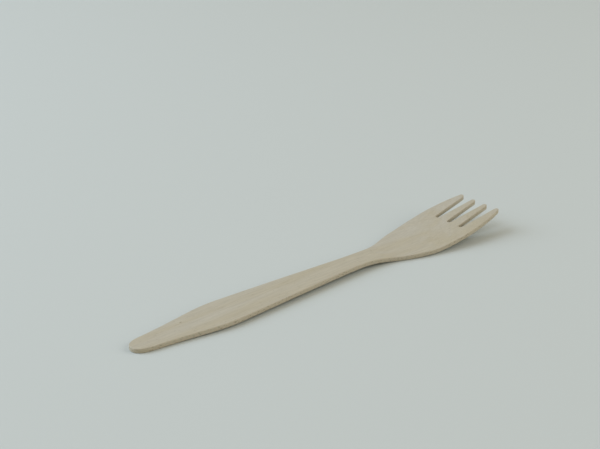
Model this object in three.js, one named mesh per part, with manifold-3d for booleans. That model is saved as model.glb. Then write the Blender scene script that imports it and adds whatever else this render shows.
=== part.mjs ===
// Disposable wooden fork: one piece of birch veneer, stamped to its outline, tumbled and pressed to shape.
// Millimetres, +Z up. It lies face up as it comes to rest, on the flat end of its handle and on its bowl.
// The handle points along -X and the tines along +X. The origin is on the surface that it lies on, under the
// middle of its length.
import Module from 'manifold-3d';
import * as THREE from 'three';
import { TessellateModifier } from 'three/addons/modifiers/TessellateModifier.js';
import { mergeVertices } from 'three/addons/utils/BufferGeometryUtils.js';

// Overall sizes
const LENGTH = 160;
const THICKNESS = 1.6;
const EDGE_EASE = 0.2; // tumbling breaks every cut edge by this much

// Outline of the handle: the width at a place, and how far the edge keeps its direction before and after it.
// The very end is round, and keeps its direction across the handle for endRun on each side of the middle.
const HANDLE_END = { fromEnd: 6, width: 8.3, slope: 0.1, before: 3.4, after: 17, endRun: 2.6 };
const SHOULDER = { fromEnd: 36.3, width: 15.8, before: 9, after: 4 };
const NECK = { fromTip: 65, width: 8.75, before: 7, after: 20 };

// Outline of the head
const HEAD = { fromTip: 18.5, width: 24.8, before: 29.5, after: 2 };
const TIP_SLOPE = 0.3; // how fast an outer tine's edge leans in at its tip
const TIP_RUN = 6; // how far that edge keeps its direction before the tip

// Tines and the slots between them
const TINE_COUNT = 4;
const TINE_PITCH = 6;
const TIP_WIDTH = 2;
const SLOT_LENGTH = 17.6;
const SLOT_ROOT_WIDTH = 1.7;

// Pressed form: heights of the underside above the surface that the fork lies on
const FLAT_END_LENGTH = 6; // stretch of the handle that lies flat on its underside
const NECK_LIFT = 1.3;
const BOWL_FROM_TIP = 37; // far end of the flat spot under the bowl, which the fork lies on
const BOWL_FLAT_LENGTH = 7;
const BOWL_FLAT_WIDTH = 8;
const TIP_LIFT = 6.15;
const TINE_BEND_FROM_TIP = 30; // where the line of the straight tines would meet the surface
const END_BEND = 4; // run of the bend after the flat end of the handle
const HANDLE_BEND = 35; // run of the gentle bend along the handle, up to the neck
const NECK_BEND = 9; // run of the bends between neck and bowl
const HEAD_CUP = 0.5; // rise of the head's sides above its flat middle

// Fineness of the faceted surface
const STEPS_PER_CURVE = 10;
const STEPS_PER_ROUND = 8;
const SHEET_CELL_LENGTH = 2;
const DIE_FACET_LENGTH = 4;
const DIE_FACET_ROUNDS = 24;
const PRESS_STEPS = 40;
const SHEET_MARGIN = 2; // spare veneer around the outline, which the die cuts away

const neckX = LENGTH - NECK.fromTip;
const headX = LENGTH - HEAD.fromTip;
const bowlX = LENGTH - BOWL_FROM_TIP;
const bowlFlatX = bowlX - BOWL_FLAT_LENGTH;
const tipRadius = TIP_WIDTH / 2;
const tipX = LENGTH - tipRadius;
const rootRadius = SLOT_ROOT_WIDTH / 2;
const rootX = LENGTH - SLOT_LENGTH + rootRadius;
const outerTineY = (TINE_COUNT - 1) / 2 * TINE_PITCH;

function point(x, y) {
  return new THREE.Vector2(x, y);
}

// A smooth stretch of edge between two knots, leaving one and reaching the other along their slopes
function edge(from, to) {
  const leaving = point(from.x + from.after, from.y + from.after * from.slope);
  const reaching = point(to.x - to.before, to.y - to.before * to.slope);
  return new THREE.CubicBezierCurve(point(from.x, from.y), leaving, reaching, point(to.x, to.y));
}

// One side of the outline, from the middle of the handle's end to the tip of the outer tine
function sidePoints() {
  const endKnot = { x: HANDLE_END.fromEnd, y: HANDLE_END.width / 2, ...HANDLE_END };
  const shoulderKnot = { x: SHOULDER.fromEnd, y: SHOULDER.width / 2, slope: 0, ...SHOULDER };
  const neckKnot = { x: neckX, y: NECK.width / 2, slope: 0, ...NECK };
  const headKnot = { x: headX, y: HEAD.width / 2, slope: 0, ...HEAD };
  const tipKnot = { x: tipX, y: outerTineY + tipRadius, slope: -TIP_SLOPE, before: TIP_RUN };

  const roundEnd = new THREE.CubicBezierCurve(
    point(0, 0),
    point(0, HANDLE_END.endRun),
    point(endKnot.x - endKnot.before, endKnot.y - endKnot.before * endKnot.slope),
    point(endKnot.x, endKnot.y),
  );
  const side = new THREE.CurvePath();
  side.add(roundEnd);
  side.add(edge(endKnot, shoulderKnot));
  side.add(edge(shoulderKnot, neckKnot));
  side.add(edge(neckKnot, headKnot));
  side.add(edge(headKnot, tipKnot));
  return side.getPoints(STEPS_PER_CURVE);
}

// The comb of tines from -Y to +Y: a round tip for each tine and a round root for each slot between two
function combPoints() {
  const comb = new THREE.Path();
  for (let tine = 0; tine < TINE_COUNT; tine += 1) {
    const tineY = tine * TINE_PITCH - outerTineY;
    comb.absarc(tipX, tineY, tipRadius, -Math.PI / 2, Math.PI / 2, false);
    if (tine < TINE_COUNT - 1) {
      comb.absarc(rootX, tineY + TINE_PITCH / 2, rootRadius, -Math.PI / 2, Math.PI / 2, true);
    }
  }
  return comb.getPoints(STEPS_PER_ROUND);
}

// The sheet of veneer that the fork is stamped from, flat, in cells that can follow the press. The two lines
// of cells along the middle are as wide as the flat spot under the bowl.
function sheetGeometry() {
  const length = LENGTH + 2 * SHEET_MARGIN;
  const cellsLong = Math.ceil(length / SHEET_CELL_LENGTH);
  const cellWidth = BOWL_FLAT_WIDTH / 2;
  const cellsWide = 2 * Math.ceil((HEAD.width / 2 + SHEET_MARGIN) / cellWidth);
  const sheet = new THREE.BoxGeometry(length, cellsWide * cellWidth, THICKNESS, cellsLong, cellsWide, 1);
  return sheet.translate(LENGTH / 2, 0, THICKNESS / 2);
}

// The die that stamps it, flat: upright walls on the outline, which lean in at 45 degrees near the two faces
// of the sheet and so break the cut edges. It reaches past both faces, but not so far that the tips close up.
function dieGeometry() {
  const side = sidePoints();
  const nearSide = side.map((p) => point(p.x, -p.y));
  const farSide = side.slice(1, -1).reverse();
  const outline = new THREE.Shape([...nearSide, ...combPoints().slice(1), ...farSide]);
  const lean = (EDGE_EASE + tipRadius) / 2;
  const die = new THREE.ExtrudeGeometry(outline, {
    depth: THICKNESS - 2 * EDGE_EASE,
    bevelSize: lean,
    bevelThickness: lean,
    bevelOffset: -lean,
    bevelSegments: 1,
  });
  const facets = new TessellateModifier(DIE_FACET_LENGTH, DIE_FACET_ROUNDS).modify(die);
  return facets.translate(0, 0, EDGE_EASE);
}

// Line of the underside along the fork: flat end, rising handle, dip into the bowl, and tines that rise again
function pressPoints() {
  const line = new THREE.CurvePath();
  line.add(new THREE.LineCurve(point(0, 0), point(FLAT_END_LENGTH, 0)));
  line.add(edge(
    { x: FLAT_END_LENGTH, y: 0, slope: 0, after: END_BEND },
    { x: neckX, y: NECK_LIFT, slope: 0, before: HANDLE_BEND },
  ));
  line.add(edge(
    { x: neckX, y: NECK_LIFT, slope: 0, after: NECK_BEND },
    { x: bowlFlatX, y: 0, slope: 0, before: NECK_BEND },
  ));
  line.add(new THREE.LineCurve(point(bowlFlatX, 0), point(bowlX, 0)));
  line.add(new THREE.QuadraticBezierCurve(
    point(bowlX, 0),
    point(LENGTH - TINE_BEND_FROM_TIP, 0),
    point(LENGTH, TIP_LIFT),
  ));
  return line.getPoints(PRESS_STEPS);
}

// Moves every point of a flat geometry to the pressed form: the line along the fork, and the cup of its head
function press(geometry) {
  const line = pressPoints();
  const position = geometry.getAttribute('position');
  for (let i = 0; i < position.count; i += 1) {
    const x = THREE.MathUtils.clamp(position.getX(i), 0, LENGTH);
    const after = Math.max(1, line.findIndex((p) => p.x >= x));
    const [a, b] = [line[after - 1], line[after]];
    const lift = THREE.MathUtils.mapLinear(x, a.x, b.x, a.y, b.y);
    const outward = Math.abs(position.getY(i)) - BOWL_FLAT_WIDTH / 2;
    const across = Math.max(0, outward) / (HEAD.width / 2 - BOWL_FLAT_WIDTH / 2);
    const cup = HEAD_CUP * across * across * THREE.MathUtils.smoothstep(x, neckX, bowlX);
    position.setZ(i, position.getZ(i) + lift + cup);
  }
  return geometry;
}

const wasm = await Module();
wasm.setup();

// Solid of a closed geometry, for cutting
function solid(geometry) {
  geometry.deleteAttribute('normal');
  geometry.deleteAttribute('uv');
  const merged = mergeVertices(geometry);
  return new wasm.Manifold(new wasm.Mesh({
    numProp: 3,
    vertProperties: Float32Array.from(merged.getAttribute('position').array),
    triVerts: Uint32Array.from(merged.index.array),
  }));
}

// The fork is what the pressed die leaves of the pressed sheet
function forkGeometry() {
  const cut = solid(press(sheetGeometry())).intersect(solid(press(dieGeometry()))).getMesh();
  const geometry = new THREE.BufferGeometry();
  geometry.setAttribute('position', new THREE.BufferAttribute(cut.vertProperties, 3));
  geometry.setIndex(new THREE.BufferAttribute(cut.triVerts, 1));
  geometry.computeVertexNormals();
  return geometry;
}

// Pale birch, sanded and left bare
const birch = new THREE.MeshStandardMaterial({ color: '#b0ab9a', roughness: 0.7, metalness: 0 });

const fork = new THREE.Mesh(forkGeometry(), birch);
fork.name = 'fork';
fork.position.x = -LENGTH / 2;

const model = new THREE.Group();
model.add(fork);

export default model;
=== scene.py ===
# %% [markdown]
# # A pressed birch fork
#
# A throwaway wooden fork is one piece of birch veneer. A die stamps its outline out of a flat sheet, a warm
# press bends it along its length and hollows its head, and a turning drum full of forks rubs the sharp edges
# off. This lesson follows the same order: a flat outline, a thickness, eased edges, the press, and then the
# look of bare, sanded birch. The first cell loads the measured model, whose box sets the fork's length and
# width.

# %% The measured model
import math

import bmesh
import bpy
import numpy as np
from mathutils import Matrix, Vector
from mathutils.geometry import interpolate_bezier


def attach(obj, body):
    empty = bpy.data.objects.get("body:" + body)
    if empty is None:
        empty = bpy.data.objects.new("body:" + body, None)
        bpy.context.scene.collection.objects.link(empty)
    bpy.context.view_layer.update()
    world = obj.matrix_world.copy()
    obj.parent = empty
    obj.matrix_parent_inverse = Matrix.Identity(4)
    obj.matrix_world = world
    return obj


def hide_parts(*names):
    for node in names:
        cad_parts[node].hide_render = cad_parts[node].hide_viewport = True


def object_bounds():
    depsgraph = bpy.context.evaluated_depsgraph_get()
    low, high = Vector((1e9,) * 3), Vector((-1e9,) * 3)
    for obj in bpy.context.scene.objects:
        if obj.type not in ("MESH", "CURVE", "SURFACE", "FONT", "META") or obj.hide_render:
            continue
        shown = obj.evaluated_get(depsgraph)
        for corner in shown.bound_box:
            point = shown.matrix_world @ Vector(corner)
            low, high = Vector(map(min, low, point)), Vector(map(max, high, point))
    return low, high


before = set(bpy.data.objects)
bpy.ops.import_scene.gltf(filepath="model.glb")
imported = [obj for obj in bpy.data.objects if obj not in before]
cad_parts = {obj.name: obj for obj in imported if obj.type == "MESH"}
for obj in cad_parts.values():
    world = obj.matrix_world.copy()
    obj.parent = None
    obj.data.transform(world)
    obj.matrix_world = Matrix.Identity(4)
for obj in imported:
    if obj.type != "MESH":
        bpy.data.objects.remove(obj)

MM = 0.001
cad_low, cad_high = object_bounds()
LENGTH = (cad_high.x - cad_low.x) / MM
HEAD_WIDTH = (cad_high.y - cad_low.y) / MM
print(f"measured model: {LENGTH:.1f} mm long, {HEAD_WIDTH:.1f} mm wide, {cad_high.z / MM:.2f} mm high")

# %% [markdown]
# ## The view
#
# A camera can be matched to a photograph by a thing whose size is known. Here the fork's own outline gave
# the camera's place, its turns and its lens: a long lens, low beside the end of the handle, which looks
# along the fork to its tines. The camera could wait until the end, but every later choice is judged through
# it, so it is made first.

# %% Camera
CAMERA_PLACE = Vector((-269.65, -308.3, 199.84)) * MM
STRAIGHT_DOWN = 90  # degrees below the horizon, where an unturned camera looks
CAMERA_DOWN = 23.6  # degrees below the horizon
CAMERA_TURN = 40.06  # degrees from +Y towards +X
CAMERA_LEAN = -0.17  # degrees about the line of sight
SENSOR_WIDTH = 36  # millimetres
FOCAL_LENGTH = 78  # millimetres

camera = bpy.data.objects.new("camera", bpy.data.cameras.new("camera"))
camera.location = CAMERA_PLACE
camera.rotation_euler = (math.radians(STRAIGHT_DOWN - CAMERA_DOWN), 0, math.radians(-CAMERA_TURN))
camera.rotation_euler.rotate_axis("Z", math.radians(CAMERA_LEAN))
camera.data.sensor_width = SENSOR_WIDTH
camera.data.lens = FOCAL_LENGTH
bpy.context.scene.collection.objects.link(camera)
bpy.context.scene.camera = camera
bpy.context.scene.view_settings.view_transform = "Standard"
print(f"camera: {camera.location.length / MM:.0f} mm from the middle of the fork")

# %% [markdown]
# ## The outline
#
# The stamped blank is flat, and the same on both sides of its long axis. So only the half towards +Y is
# drawn. A curve object could hold this outline, but its filling is long loose triangles, which bend badly
# in the press. So each stretch of edge is a cubic Bezier between two knots, and `interpolate_bezier` gives
# the points on it. A knot has a place and a slope, and the edge keeps that slope for a short run before and
# after it. Everything is in millimetres from the end of the handle until the fork is finished.

# %% Curves through knots
def knot(x, y, before, after, slope=0.0):
    """Where a curve aims as it comes to a knot, the knot itself, and where the curve aims as it leaves."""
    place = Vector((x, y, 0))
    way = Vector((1, slope, 0))
    return place - before * way, place, place + after * way


def curve(knots, step):
    """Points about a step apart on the Bezier curve through the knots."""
    points = [knots[0][1]]
    for (_, start, leaving), (reaching, end, _) in zip(knots, knots[1:]):
        count = max(3, round((end - start).length / step)) + 1
        points += interpolate_bezier(start, leaving, reaching, end, count)[1:]
    return points


# %% The long edge, from the end of the handle to the outer tine
HANDLE_END_RUN = 2.6  # how far the very end keeps straight across the handle
HANDLE_ROUND = 6  # length of the round end
HANDLE_ROUND_WIDTH = 8.3
SHOULDER_FROM_END = 36.3  # the widest place of the handle
SHOULDER_WIDTH = 15.8
NECK_FROM_TIP = 65
NECK_WIDTH = 8.75
HEAD_FROM_TIP = 18.5  # the widest place of the head
TINE_COUNT = 4
TINE_PITCH = 6.0
TIP_RADIUS = 1.0
EDGE_STEP = 1.0

outer_tine_y = (TINE_COUNT - 1) / 2 * TINE_PITCH
inner_tine_y = outer_tine_y - TINE_PITCH
tip_x = LENGTH - TIP_RADIUS

end_of_handle = (None, Vector((0, 0, 0)), Vector((0, HANDLE_END_RUN, 0)))
round_of_handle = knot(HANDLE_ROUND, HANDLE_ROUND_WIDTH / 2, before=3.4, after=17, slope=0.1)
shoulder = knot(SHOULDER_FROM_END, SHOULDER_WIDTH / 2, before=9, after=4)
neck = knot(LENGTH - NECK_FROM_TIP, NECK_WIDTH / 2, before=7, after=20)
head = knot(LENGTH - HEAD_FROM_TIP, HEAD_WIDTH / 2, before=29.5, after=2)
outer_tine = knot(tip_x, outer_tine_y + TIP_RADIUS, before=6, after=0, slope=-0.3)

long_edge = curve([end_of_handle, round_of_handle, shoulder, neck, head, outer_tine], EDGE_STEP)
print(f"long edge: {len(long_edge)} points")

# %% The comb of round tips and round slot roots, down to the long axis
SLOT_LENGTH = 17.6
ROOT_RADIUS = 0.85
ROUND_STEP = 10  # degrees

slot_y = TINE_PITCH
root_x = LENGTH - SLOT_LENGTH + ROOT_RADIUS


def arc(x, y, radius, first, last):
    """Points on a round, from one angle to another in degrees."""
    angles = np.radians(np.linspace(first, last, 1 + abs(last - first) // ROUND_STEP))
    return [Vector((x + radius * math.cos(a), y + radius * math.sin(a), 0)) for a in angles]


comb = arc(tip_x, outer_tine_y, TIP_RADIUS, 90, -90)[1:]
comb += arc(root_x, slot_y, ROOT_RADIUS, 90, 270)
comb += arc(tip_x, inner_tine_y, TIP_RADIUS, 90, -90)
comb += arc(root_x, 0, ROOT_RADIUS, 90, 180)
print(f"comb: {len(comb)} points")

# %% [markdown]
# ## The blank
#
# A real die cuts the whole outline in one stroke, right through the veneer. Here the half outline becomes
# one many-sided face, `mirror` adds the other half, and an extrusion gives the veneer its thickness. Faces
# with many sides are fine for now, because the blank is flat and is cut up before it bends.

# %% Stamped blank
THICKNESS = 1.6
WELD_DISTANCE = 0.001  # points of the two halves that are nearer than this become one
CUBIC_CENTIMETRE = 1000  # cubic millimetres

blank = bmesh.new()
blank.faces.new([blank.verts.new(point) for point in long_edge + comb])
half = blank.verts[:] + blank.edges[:] + blank.faces[:]
bmesh.ops.mirror(blank, geom=half, axis="Y", merge_dist=WELD_DISTANCE)
raised = bmesh.ops.extrude_face_region(blank, geom=blank.faces[:])["geom"]
raised_verts = [part for part in raised if isinstance(part, bmesh.types.BMVert)]
bmesh.ops.translate(blank, verts=raised_verts, vec=(0, 0, THICKNESS))
bmesh.ops.recalc_face_normals(blank, faces=blank.faces[:])
print(f"blank: {len(blank.faces)} faces, {blank.calc_volume() / CUBIC_CENTIMETRE:.2f} cubic centimetres")

# %% [markdown]
# ## Eased edges
#
# Tumbling leaves a small round on every edge, and that round is what catches the light on a real fork. A
# bevel with three segments makes it. Smooth shading then runs over from the round on to the flat face, so a
# narrow inset beside the round keeps that run short.

# %% Tumbled edges
EDGE_EASE = 0.2
EDGE_SEGMENTS = 3
SUPPORT_WIDTH = 0.12  # the inset beside the round
SHARP = math.radians(60)  # an edge that turns further than this is a cut edge
BROAD_FACES = 4  # the upper and the under side, in two halves each

sharp_edges = [edge for edge in blank.edges if edge.calc_face_angle(0) > SHARP]
bmesh.ops.bevel(
    blank, geom=sharp_edges, offset=EDGE_EASE, offset_type="OFFSET", affect="EDGES",
    segments=EDGE_SEGMENTS, profile=0.5, material=-1,
)
broad_faces = sorted(blank.faces, key=lambda face: face.calc_area())[-BROAD_FACES:]
bmesh.ops.inset_region(
    blank, faces=broad_faces, thickness=SUPPORT_WIDTH, use_boundary=True, use_even_offset=True,
)
print(f"eased: {len(sharp_edges)} sharp edges, {len(blank.faces)} faces")

# %% [markdown]
# ## Cuts for bending
#
# A face bends only where it has edges. Subdividing a face with hundreds of corners gives slivers, so the
# blank is sliced by planes instead, as a loaf is: one cut for each millimetre of length, and one for each
# millimetre of width. A corner that lies within the slack of a cut counts as on it, which saves tiny faces.

# %% Slices along and across
SLICE = 1.0
SLICE_SLACK = 0.05


def slice_blank(way, first, last):
    """Cuts the blank by planes one slice apart, square to a direction."""
    for place in np.arange(first, last, SLICE):
        everything = blank.verts[:] + blank.edges[:] + blank.faces[:]
        bmesh.ops.bisect_plane(
            blank, geom=everything, dist=SLICE_SLACK, plane_co=place * way, plane_no=way,
        )


slice_blank(Vector((1, 0, 0)), SLICE, LENGTH)
slice_blank(Vector((0, 1, 0)), -math.floor(HEAD_WIDTH / 2), HEAD_WIDTH / 2)
many_sided = [face for face in blank.faces if len(face.verts) > 4]
bmesh.ops.triangulate(blank, faces=many_sided)
print(f"sliced: {len(blank.faces)} faces")

# %% [markdown]
# ## The press
#
# The warm press leaves the end of the handle flat, lifts the neck, sets the bowl down again on a flat spot
# and sweeps the tines up. That is one height for each place along the fork. Across the head there is a
# second, smaller bend, the cup, which starts at the sides of the flat spot and grows from the neck to the
# bowl. The fork lies on those two flat places. A lattice or a curve modifier could bend the blank too, but
# moving each point by a height keeps its outline exactly as it was stamped.

# %% Line of the underside
FLAT_END = 6  # length of the handle that lies flat
NECK_LIFT = 1.3
FLAT_SPOT_FROM_TIP = 37  # far end of the flat spot under the bowl
FLAT_SPOT_LENGTH = 7
TIP_LIFT = 6.15
TINE_BEND_FROM_TIP = 30  # where the line of the straight tips would meet the floor
LINE_STEP = 0.5

neck_x = neck[1].x
bowl_x = LENGTH - FLAT_SPOT_FROM_TIP
underside = curve(
    [
        knot(0, 0, before=0, after=2),
        knot(FLAT_END, 0, before=2, after=4),
        knot(neck_x, NECK_LIFT, before=35, after=9),
        knot(bowl_x - FLAT_SPOT_LENGTH, 0, before=9, after=2),
        knot(bowl_x, 0, before=2, after=4.67),
        knot(LENGTH, TIP_LIFT, before=20, after=0, slope=TIP_LIFT / TINE_BEND_FROM_TIP),
    ],
    LINE_STEP,
)
line_x = [point.x for point in underside]
line_z = [point.y for point in underside]
print(f"underside: {NECK_LIFT} mm up at the neck, {TIP_LIFT} mm up at the tips")

# %% Pressed fork
HEAD_CUP = 0.5  # rise of the head's sides
FLAT_SPOT_WIDTH = 8


def press(x, y):
    """How far the press lifts the veneer at one place."""
    cup_run = min(1, max(0, (x - neck_x) / (bowl_x - neck_x)))
    cup_share = cup_run * cup_run * (3 - 2 * cup_run)
    outward = max(0, abs(y) - FLAT_SPOT_WIDTH / 2) / (HEAD_WIDTH / 2 - FLAT_SPOT_WIDTH / 2)
    return np.interp(x, line_x, line_z) + HEAD_CUP * cup_share * outward**2


for vert in blank.verts:
    vert.co.z += press(vert.co.x, vert.co.y)
bmesh.ops.scale(blank, verts=blank.verts[:], vec=(MM, MM, MM))
bmesh.ops.translate(blank, verts=blank.verts[:], vec=(cad_low.x, 0, 0))
bmesh.ops.recalc_face_normals(blank, faces=blank.faces[:])
for face in blank.faces:
    face.smooth = True
open_edges = [edge for edge in blank.edges if not edge.is_manifold]
print(f"pressed: {len(blank.faces)} faces, {len(open_edges)} open edges")

# %% [markdown]
# ## The fork as an object
#
# So far the fork is only a bmesh, which is a place to work on a form. To be seen it becomes a mesh, and the
# mesh becomes an object that stays at the origin, unturned and unscaled, because its points are already
# where they belong. The calls at the end say that it never moves and that it stands in for the measured
# fork.

# %% Fork as an object
fork_mesh = bpy.data.meshes.new("birch_fork")
blank.to_mesh(fork_mesh)
blank.free()
fork = bpy.data.objects.new("birch_fork", fork_mesh)
bpy.context.scene.collection.objects.link(fork)
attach(fork, "root")
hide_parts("fork")
print(f"fork: {sum(len(p.vertices) - 2 for p in fork_mesh.polygons)} triangles")

# %% [markdown]
# ## Bare, sanded birch
#
# Birch veneer is peeled off a turning log, so its broad faces show a wide and very faint figure instead of
# stripes. Over that lie fine fibres along the length, short dark pores, and now and then a small brown
# fleck. An image texture would carry one fork's marks on to every fork, so each of these is a noise or a
# field of cells instead. Every pattern reads the fork's own coordinates, and its size is given in
# millimetres along, across and through the veneer. Real fibres and pores are finer than a pixel of the
# picture, so both are drawn a few times wider than they are.

# %% Helpers for materials
def linear(hex_colour):
    """An sRGB colour such as #B0AB9A as linear red, green, blue and alpha."""
    parts = [int(hex_colour[i : i + 2], 16) / 255 for i in (1, 3, 5)]
    return [c / 12.92 if c <= 0.04045 else ((c + 0.055) / 1.055) ** 2.4 for c in parts] + [1]


def add(tree, kind, settings, inputs):
    """Adds one node: its own settings, and for each input a value or the output that feeds it."""
    node = tree.nodes.new(kind)
    for name, value in settings.items():
        setattr(node, name, value)
    for name, value in inputs.items():
        if isinstance(value, bpy.types.NodeSocket):
            tree.links.new(value, node.inputs[name])
        else:
            node.inputs[name].default_value = value
    return node


# %% Birch: where the patterns lie
# Bare wood that was only sanded gives the eye a dry, pale, faintly streaked face with no shine.
birch = bpy.data.materials.new("sanded_birch")
birch.use_nodes = True
tree = birch.node_tree
tree.nodes.clear()

PATTERN_SIZES = {  # millimetres along, across and through the veneer
    "figure": (70, 6, 1.5),
    "fibres": (9, 0.45, 0.3),
    "pores": (4, 0.6, 0.6),
    "flecks": (12, 5, 5),
    "specks": (0.9, 0.35, 0.35),
}

place = add(tree, "ShaderNodeTexCoord", {}, {})
object_place = place.outputs["Object"]
pattern_place = {}
for pattern, sizes in PATTERN_SIZES.items():
    scale = [1 / (size * MM) for size in sizes]
    mapping = add(tree, "ShaderNodeMapping", {}, {"Vector": object_place, "Scale": scale})
    pattern_place[pattern] = mapping.outputs["Vector"]
print("birch:", ", ".join(pattern_place))

# %% Birch: figure and fibres, which give the broad faces their pale, barely streaked colour, with painted light that makes the far side paler
NOISE_LOW = 0.3  # most of a noise lies between these two values
NOISE_HIGH = 0.7
PAINTED_LIGHT_PER_MM = 0.012  # painted light: how much paler the wood is drawn for each millimetre towards +Y, the far side
DARKER_WOOD = linear("#AFA68E")
PALER_WOOD = linear("#B3AD9C")
DARKEST_FIBRE = 0.92
PALEST_FIBRE = 1.08

figure = add(
    tree, "ShaderNodeTexNoise", {},
    {"Vector": pattern_place["figure"], "Scale": 1, "Detail": 2, "Distortion": 0.4},
)
across = add(tree, "ShaderNodeSeparateXYZ", {}, {"Vector": object_place})
# painted light: the colour is pushed paler towards +Y, the side that faces the key light, on top of the
# figure
figure_and_painted_light = add(
    tree, "ShaderNodeMath", {"operation": "MULTIPLY_ADD"},
    {0: across.outputs["Y"], 1: PAINTED_LIGHT_PER_MM / MM, 2: figure.outputs["Fac"]},
)
wood_colour = add(tree, "ShaderNodeValToRGB", {}, {"Fac": figure_and_painted_light.outputs["Value"]})
wood_colour.color_ramp.elements[0].position = NOISE_LOW
wood_colour.color_ramp.elements[0].color = DARKER_WOOD
wood_colour.color_ramp.elements[1].position = NOISE_HIGH
wood_colour.color_ramp.elements[1].color = PALER_WOOD
fibres = add(
    tree, "ShaderNodeTexNoise", {},
    {"Vector": pattern_place["fibres"], "Scale": 1, "Detail": 4, "Roughness": 0.6},
)
fibre_tone = add(
    tree, "ShaderNodeMapRange", {},
    {
        "Value": fibres.outputs["Fac"], "From Min": NOISE_LOW, "From Max": NOISE_HIGH,
        "To Min": DARKEST_FIBRE, "To Max": PALEST_FIBRE,
    },
)
streaked = add(
    tree, "ShaderNodeVectorMath", {"operation": "SCALE"},
    {0: wood_colour.outputs["Color"], "Scale": fibre_tone.outputs["Result"]},
)
print(f"birch: {len(tree.nodes)} nodes for figure and fibres")

# %% Birch: pores, which show as short fine dashes
PORE_COLOUR = linear("#7E745E")
PORE_STRENGTH = 0.4

pore_cells = add(tree, "ShaderNodeTexVoronoi", {}, {"Vector": pattern_place["pores"], "Scale": 1})
pore_distance = pore_cells.outputs["Distance"]
pores = add(
    tree, "ShaderNodeMapRange", {"interpolation_type": "SMOOTHSTEP"},
    {"Value": pore_distance, "From Min": 0.16, "From Max": 0.08, "To Min": 0, "To Max": 1},
)
pore_share = add(
    tree, "ShaderNodeMath", {"operation": "MULTIPLY"}, {0: pores.outputs["Result"], 1: PORE_STRENGTH},
)
with_pores = add(
    tree, "ShaderNodeMix", {"data_type": "RGBA"},
    {0: pore_share.outputs["Value"], 6: streaked.outputs["Vector"], 7: PORE_COLOUR},
)
print(f"birch: {len(tree.nodes)} nodes with pores")

# %% Birch: flecks, which are kept in only some of their cells
FLECK_COLOUR = linear("#776B54")
FLECK_STRENGTH = 0.8
FLECK_CHANCE = 0.3

fleck_cells = add(tree, "ShaderNodeTexVoronoi", {}, {"Vector": pattern_place["flecks"], "Scale": 1})
fleck_distance = fleck_cells.outputs["Distance"]
fleck_shape = add(
    tree, "ShaderNodeMapRange", {"interpolation_type": "SMOOTHSTEP"},
    {"Value": fleck_distance, "From Min": 0.06, "From Max": 0.02, "To Min": 0, "To Max": FLECK_STRENGTH},
)
fleck_draw = add(tree, "ShaderNodeSeparateColor", {}, {"Color": fleck_cells.outputs["Color"]})
fleck_kept = add(
    tree, "ShaderNodeMath", {"operation": "LESS_THAN"}, {0: fleck_draw.outputs["Red"], 1: FLECK_CHANCE},
)
flecks = add(
    tree, "ShaderNodeMath", {"operation": "MULTIPLY"},
    {0: fleck_shape.outputs["Result"], 1: fleck_kept.outputs["Value"]},
)
with_flecks = add(
    tree, "ShaderNodeMix", {"data_type": "RGBA"},
    {0: flecks.outputs["Value"], 6: with_pores.outputs[2], 7: FLECK_COLOUR},
)
print(f"birch: {len(tree.nodes)} nodes with flecks")

# %% [markdown]
# The upright sides that the die cut go through the layers of the wood. Pores that were cut across open on to
# them as dark specks. The sides are drawn a little paler than the faces, which is painted light. The tumbled
# rims between side and face are rubbed paler still, and smoother. Each could be a material of its own, but
# the change is gradual. A surface that stands upright has no height in its normal, so the normal tells the
# three apart.

# %% Birch: stamped walls, drawn paler with painted light, and specked
# painted light: the upright sides are mixed towards this paler colour to brighten them
PAINTED_LIGHT_WALL_COLOUR = linear("#BFB6A0")
PAINTED_LIGHT_WALL_STRENGTH = 0.4
SPECK_COLOUR = linear("#75694F")
SPECK_STRENGTH = 0.7

facing = add(tree, "ShaderNodeSeparateXYZ", {}, {"Vector": place.outputs["Normal"]})
flatness = add(tree, "ShaderNodeMath", {"operation": "ABSOLUTE"}, {0: facing.outputs["Z"]})
wall = add(
    tree, "ShaderNodeMapRange", {"interpolation_type": "SMOOTHSTEP"},
    {"Value": flatness.outputs["Value"], "From Min": 0.9, "From Max": 0.3, "To Min": 0, "To Max": 1},
)
painted_wall_light_share = add(
    tree, "ShaderNodeMath", {"operation": "MULTIPLY"}, {0: wall.outputs["Result"], 1: PAINTED_LIGHT_WALL_STRENGTH},
)
with_painted_wall_light = add(
    tree, "ShaderNodeMix", {"data_type": "RGBA"},
    {0: painted_wall_light_share.outputs["Value"], 6: with_flecks.outputs[2], 7: PAINTED_LIGHT_WALL_COLOUR},
)
cut_pores = add(
    tree, "ShaderNodeTexNoise", {},
    {"Vector": pattern_place["specks"], "Scale": 1, "Detail": 1},
)
speck_noise = cut_pores.outputs["Fac"]
specks = add(
    tree, "ShaderNodeMapRange", {"interpolation_type": "SMOOTHSTEP"},
    {"Value": speck_noise, "From Min": 0.55, "From Max": 0.75, "To Min": 0, "To Max": SPECK_STRENGTH},
)
wall_specks = add(
    tree, "ShaderNodeMath", {"operation": "MULTIPLY"},
    {0: specks.outputs["Result"], 1: wall.outputs["Result"]},
)
with_specks = add(
    tree, "ShaderNodeMix", {"data_type": "RGBA"},
    {0: wall_specks.outputs["Value"], 6: with_painted_wall_light.outputs[2], 7: SPECK_COLOUR},
)
print(f"birch: {len(tree.nodes)} nodes with walls")

# %% Birch: tumbled rims, which draw a pale line along every edge
RUBBED_WOOD = linear("#C0BAA8")

not_wall = add(tree, "ShaderNodeMath", {"operation": "SUBTRACT"}, {0: 1, 1: wall.outputs["Result"]})
rim = add(
    tree, "ShaderNodeMath", {"operation": "MULTIPLY"},
    {0: wall.outputs["Result"], 1: not_wall.outputs["Value"]},
)
with_rims = add(
    tree, "ShaderNodeMix", {"data_type": "RGBA"},
    {0: rim.outputs["Value"], 6: with_specks.outputs[2], 7: RUBBED_WOOD},
)
print(f"birch: {len(tree.nodes)} nodes with rims")

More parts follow.
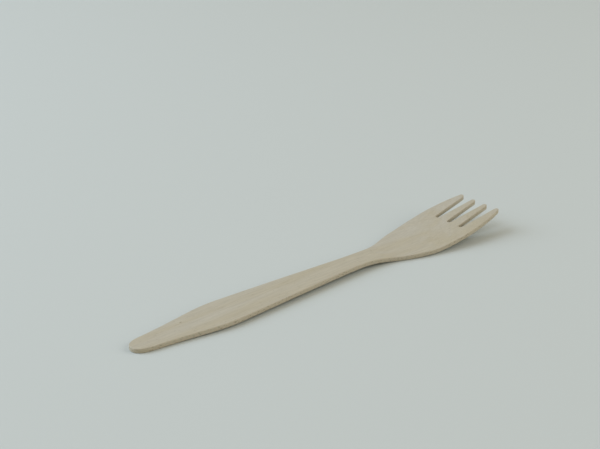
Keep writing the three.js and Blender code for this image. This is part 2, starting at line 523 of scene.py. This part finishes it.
# %% Birch: roughness and relief
SMOOTHEST_FACE = 0.62
ROUGHEST_FACE = 0.74
RIM_SMOOTHING = 0.4  # how much less rough the rubbed rims are
FIBRE_RELIEF = 0.02  # millimetres
PORE_DEPTH = 0.03  # millimetres
WOOD_IOR = 1.53

face_roughness = add(
    tree, "ShaderNodeMapRange", {},
    {
        "Value": fibres.outputs["Fac"], "From Min": NOISE_LOW, "From Max": NOISE_HIGH,
        "To Min": ROUGHEST_FACE, "To Max": SMOOTHEST_FACE,
    },
)
roughness = add(
    tree, "ShaderNodeMath", {"operation": "MULTIPLY_ADD"},
    {0: rim.outputs["Value"], 1: -RIM_SMOOTHING, 2: face_roughness.outputs["Result"]},
)
fibre_height = add(
    tree, "ShaderNodeMath", {"operation": "MULTIPLY"}, {0: fibres.outputs["Fac"], 1: FIBRE_RELIEF},
)
height = add(
    tree, "ShaderNodeMath", {"operation": "MULTIPLY_ADD"},
    {0: pores.outputs["Result"], 1: -PORE_DEPTH, 2: fibre_height.outputs["Value"]},
)
bump = add(tree, "ShaderNodeBump", {}, {"Strength": 1, "Distance": MM, "Height": height.outputs["Value"]})
surface = add(
    tree, "ShaderNodeBsdfPrincipled", {},
    {
        "Base Color": with_rims.outputs[2],
        "Roughness": roughness.outputs["Value"],
        "IOR": WOOD_IOR,
        "Normal": bump.outputs["Normal"],
    },
)
add(tree, "ShaderNodeOutputMaterial", {}, {"Surface": surface.outputs["BSDF"]})
fork_mesh.materials.append(birch)
print(f"birch: {len(tree.nodes)} nodes in all")

# %% [markdown]
# ## The floor
#
# The fork lies on a plain pale floor, which is there to catch its shadow. The floor could lie at height
# zero, but then it would share a plane with the flat places under the fork, and the two would flicker
# through each other. So it sits a hair lower.

# %% Floor
FLOOR_SIZE = 6  # metres
FLOOR_GAP = 0.02 * MM

floor_form = bmesh.new()
bmesh.ops.create_grid(floor_form, x_segments=1, y_segments=1, size=FLOOR_SIZE / 2)
bmesh.ops.translate(floor_form, verts=floor_form.verts[:], vec=(0, 0, -FLOOR_GAP))
floor_mesh = bpy.data.meshes.new("floor")
floor_form.to_mesh(floor_mesh)
floor_form.free()
floor = bpy.data.objects.new("floor", floor_mesh)
bpy.context.scene.collection.objects.link(floor)
print(f"floor: {FLOOR_SIZE} m wide")

# %% Matt paint of the floor: a cool pale grey with hardly any sheen, against which the wood looks warm
FLOOR_COLOUR = linear("#C3C9C5")
FLOOR_ROUGHNESS = 0.85
FLOOR_SHEEN = 0.2

floor_paint = bpy.data.materials.new("pale_matt_floor")
floor_paint.use_nodes = True
floor_surface = floor_paint.node_tree.nodes["Principled BSDF"]
floor_surface.inputs["Base Color"].default_value = FLOOR_COLOUR
floor_surface.inputs["Roughness"].default_value = FLOOR_ROUGHNESS
floor_surface.inputs["Specular IOR Level"].default_value = FLOOR_SHEEN
floor_mesh.materials.append(floor_paint)
print(f"floor paint: roughness {FLOOR_ROUGHNESS}")

# %% [markdown]
# ## The light
#
# Daylight in a room comes in low and broad from one side, and comes back weaker from the other. A sun lamp
# would throw hard shadows, so a large square light stands past the end of the handle, on the far side, and a
# dimmer one stands across from it. An even light from all round fills what they leave. The first light is a
# little cool and the even one a little warm, and together they show a grey as grey.

# %% Soft lights
KEY_TINT = (0.85, 1.0, 1.23)
FILL_TINT = (1.0, 1.0, 1.0)


def soft_light(name, place, size, power, tint):
    """A square light that looks at the middle of the fork, with its place and size in metres."""
    light = bpy.data.objects.new(name, bpy.data.lights.new(name, "AREA"))
    light.location = place
    light.rotation_euler = (-light.location).to_track_quat("-Z", "Y").to_euler()
    light.data.size = size
    light.data.energy = power
    light.data.color = tint
    bpy.context.scene.collection.objects.link(light)
    print(f"{name}: {light.location.length:.2f} m away, {power} W")


soft_light("key_light", place=(-0.9, 0.94, 0.95), size=1.28, power=19.2, tint=KEY_TINT)
soft_light("fill_light", place=(1.0, -0.98, 0.76), size=1.2, power=9.2, tint=FILL_TINT)

# %% Light from all round, and the pale background that the camera sees behind the floor
SURROUND_STRENGTH = 0.445
SURROUND_TINT = (1.105, 1.0, 0.83, 1)

world = bpy.data.worlds.new("surround")
bpy.context.scene.world = world
world.use_nodes = True
world_tree = world.node_tree
world_tree.nodes.clear()
path = add(world_tree, "ShaderNodeLightPath", {}, {})
seen_or_glossy = add(
    world_tree, "ShaderNodeMath", {"operation": "MAXIMUM"},
    {0: path.outputs["Is Camera Ray"], 1: path.outputs["Is Glossy Ray"]},
)
seen = add(
    world_tree, "ShaderNodeMath", {"operation": "MAXIMUM"},
    {0: seen_or_glossy.outputs["Value"], 1: path.outputs["Is Transmission Ray"]},
)
lighting = add(
    world_tree, "ShaderNodeBackground", {}, {"Color": SURROUND_TINT, "Strength": SURROUND_STRENGTH},
)
backdrop = add(world_tree, "ShaderNodeBackground", {}, {"Color": FLOOR_COLOUR, "Strength": 1})
either = add(
    world_tree, "ShaderNodeMixShader", {},
    {0: seen.outputs["Value"], 1: lighting.outputs["Background"], 2: backdrop.outputs["Background"]},
)
add(world_tree, "ShaderNodeOutputWorld", {}, {"Surface": either.outputs["Shader"]})
print(f"surround: strength {SURROUND_STRENGTH}")
